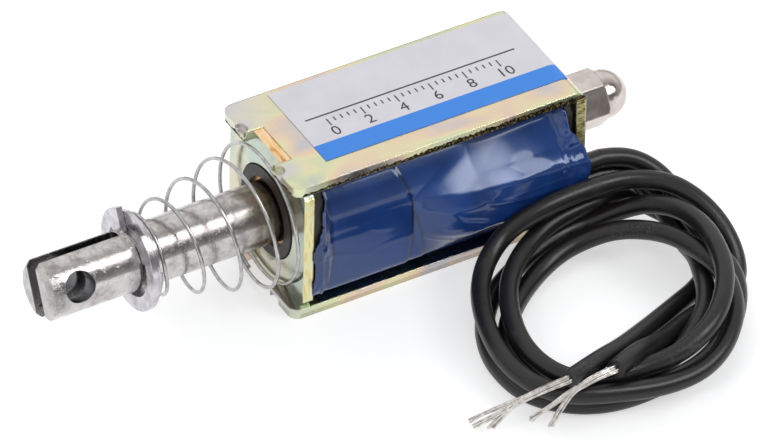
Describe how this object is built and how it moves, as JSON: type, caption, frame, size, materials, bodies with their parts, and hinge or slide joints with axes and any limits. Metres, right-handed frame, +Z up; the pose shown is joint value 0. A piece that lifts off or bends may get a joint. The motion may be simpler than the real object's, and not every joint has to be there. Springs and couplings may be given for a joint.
{
  "type": "push pull solenoid",
  "caption": "Small open frame push pull solenoid with a forked plunger, conical return spring, domed stop nut and two flying leads.",
  "frame": {"origin": "middle of the mounting face, midway between the two tapped mounting holes", "axes": "+X along the plunger's axis towards the domed nut, +Z up from the mounting face, the leads on the -Y side"},
  "size_m": [0.0635, 0.0397, 0.0151],
  "materials": {
    "plated_frame": "iridescent yellow zinc plate on sheet steel",
    "bobbin_plastic": "black glass filled nylon",
    "enamelled_wire": "enamelled copper wire",
    "insulating_paper": "cream insulating paper",
    "blue_tape": "glossy blue polyester tape",
    "sleeve_brass": "drawn brass tube",
    "core_iron": "turned soft iron",
    "nickel_plate": "nickel plate over turned steel, lightly pitted",
    "rod_steel": "stainless rod",
    "stop_rubber": "black rubber",
    "nut_nickel": "polished nickel plate",
    "clip_steel": "stamped spring steel, bright zinc",
    "spring_steel": "bright spring wire",
    "label_film": "printed satin film",
    "lead_jacket": "black PVC",
    "solder": "soft solder",
    "tinned_strands": "tinned copper strands"
  },
  "bodies": {
    "frame": {"yoke": "plated_frame", "front_plate": "plated_frame", "bobbin": "bobbin_plastic", "coil_winding": "enamelled_wire", "paper_wrap": "insulating_paper", "tape_wrap": "blue_tape", "guide_sleeve": "sleeve_brass", "fixed_core": "core_iron", "return_spring": "spring_steel", "label": "label_film", "lead_a_root": "lead_jacket", "lead_b_root": "lead_jacket", "lead_a_joint": "solder", "lead_b_joint": "solder", "lead_a_exit": "lead_jacket", "lead_b_exit": "lead_jacket", "lead_a_tail": "lead_jacket", "lead_b_tail": "lead_jacket", "lead_coil": "lead_jacket", "lead_a_strands": "tinned_strands", "lead_b_strands": "tinned_strands"},
    "seat": {"spring_seat": "clip_steel"},
    "plunger": {"plunger": "nickel_plate", "push_rod": "rod_steel", "stop_washer": "stop_rubber", "domed_nut": "nut_nickel", "retaining_clip": "clip_steel"}
  },
  "joints": [
    {"name": "plunger_travel", "type": "slide", "parent": "frame", "child": "seat", "axis": [1, 0, 0], "range_m": [0, 0.01], "stiffness_N_per_m": 60, "springref_m": -0.015, "deforming": ["return_spring"]},
    {"name": "plunger_spin", "type": "hinge", "parent": "seat", "child": "plunger", "pos_m": [-0.0274, 0, 0.0075], "axis": [1, 0, 0], "continuous": true}
  ]
}
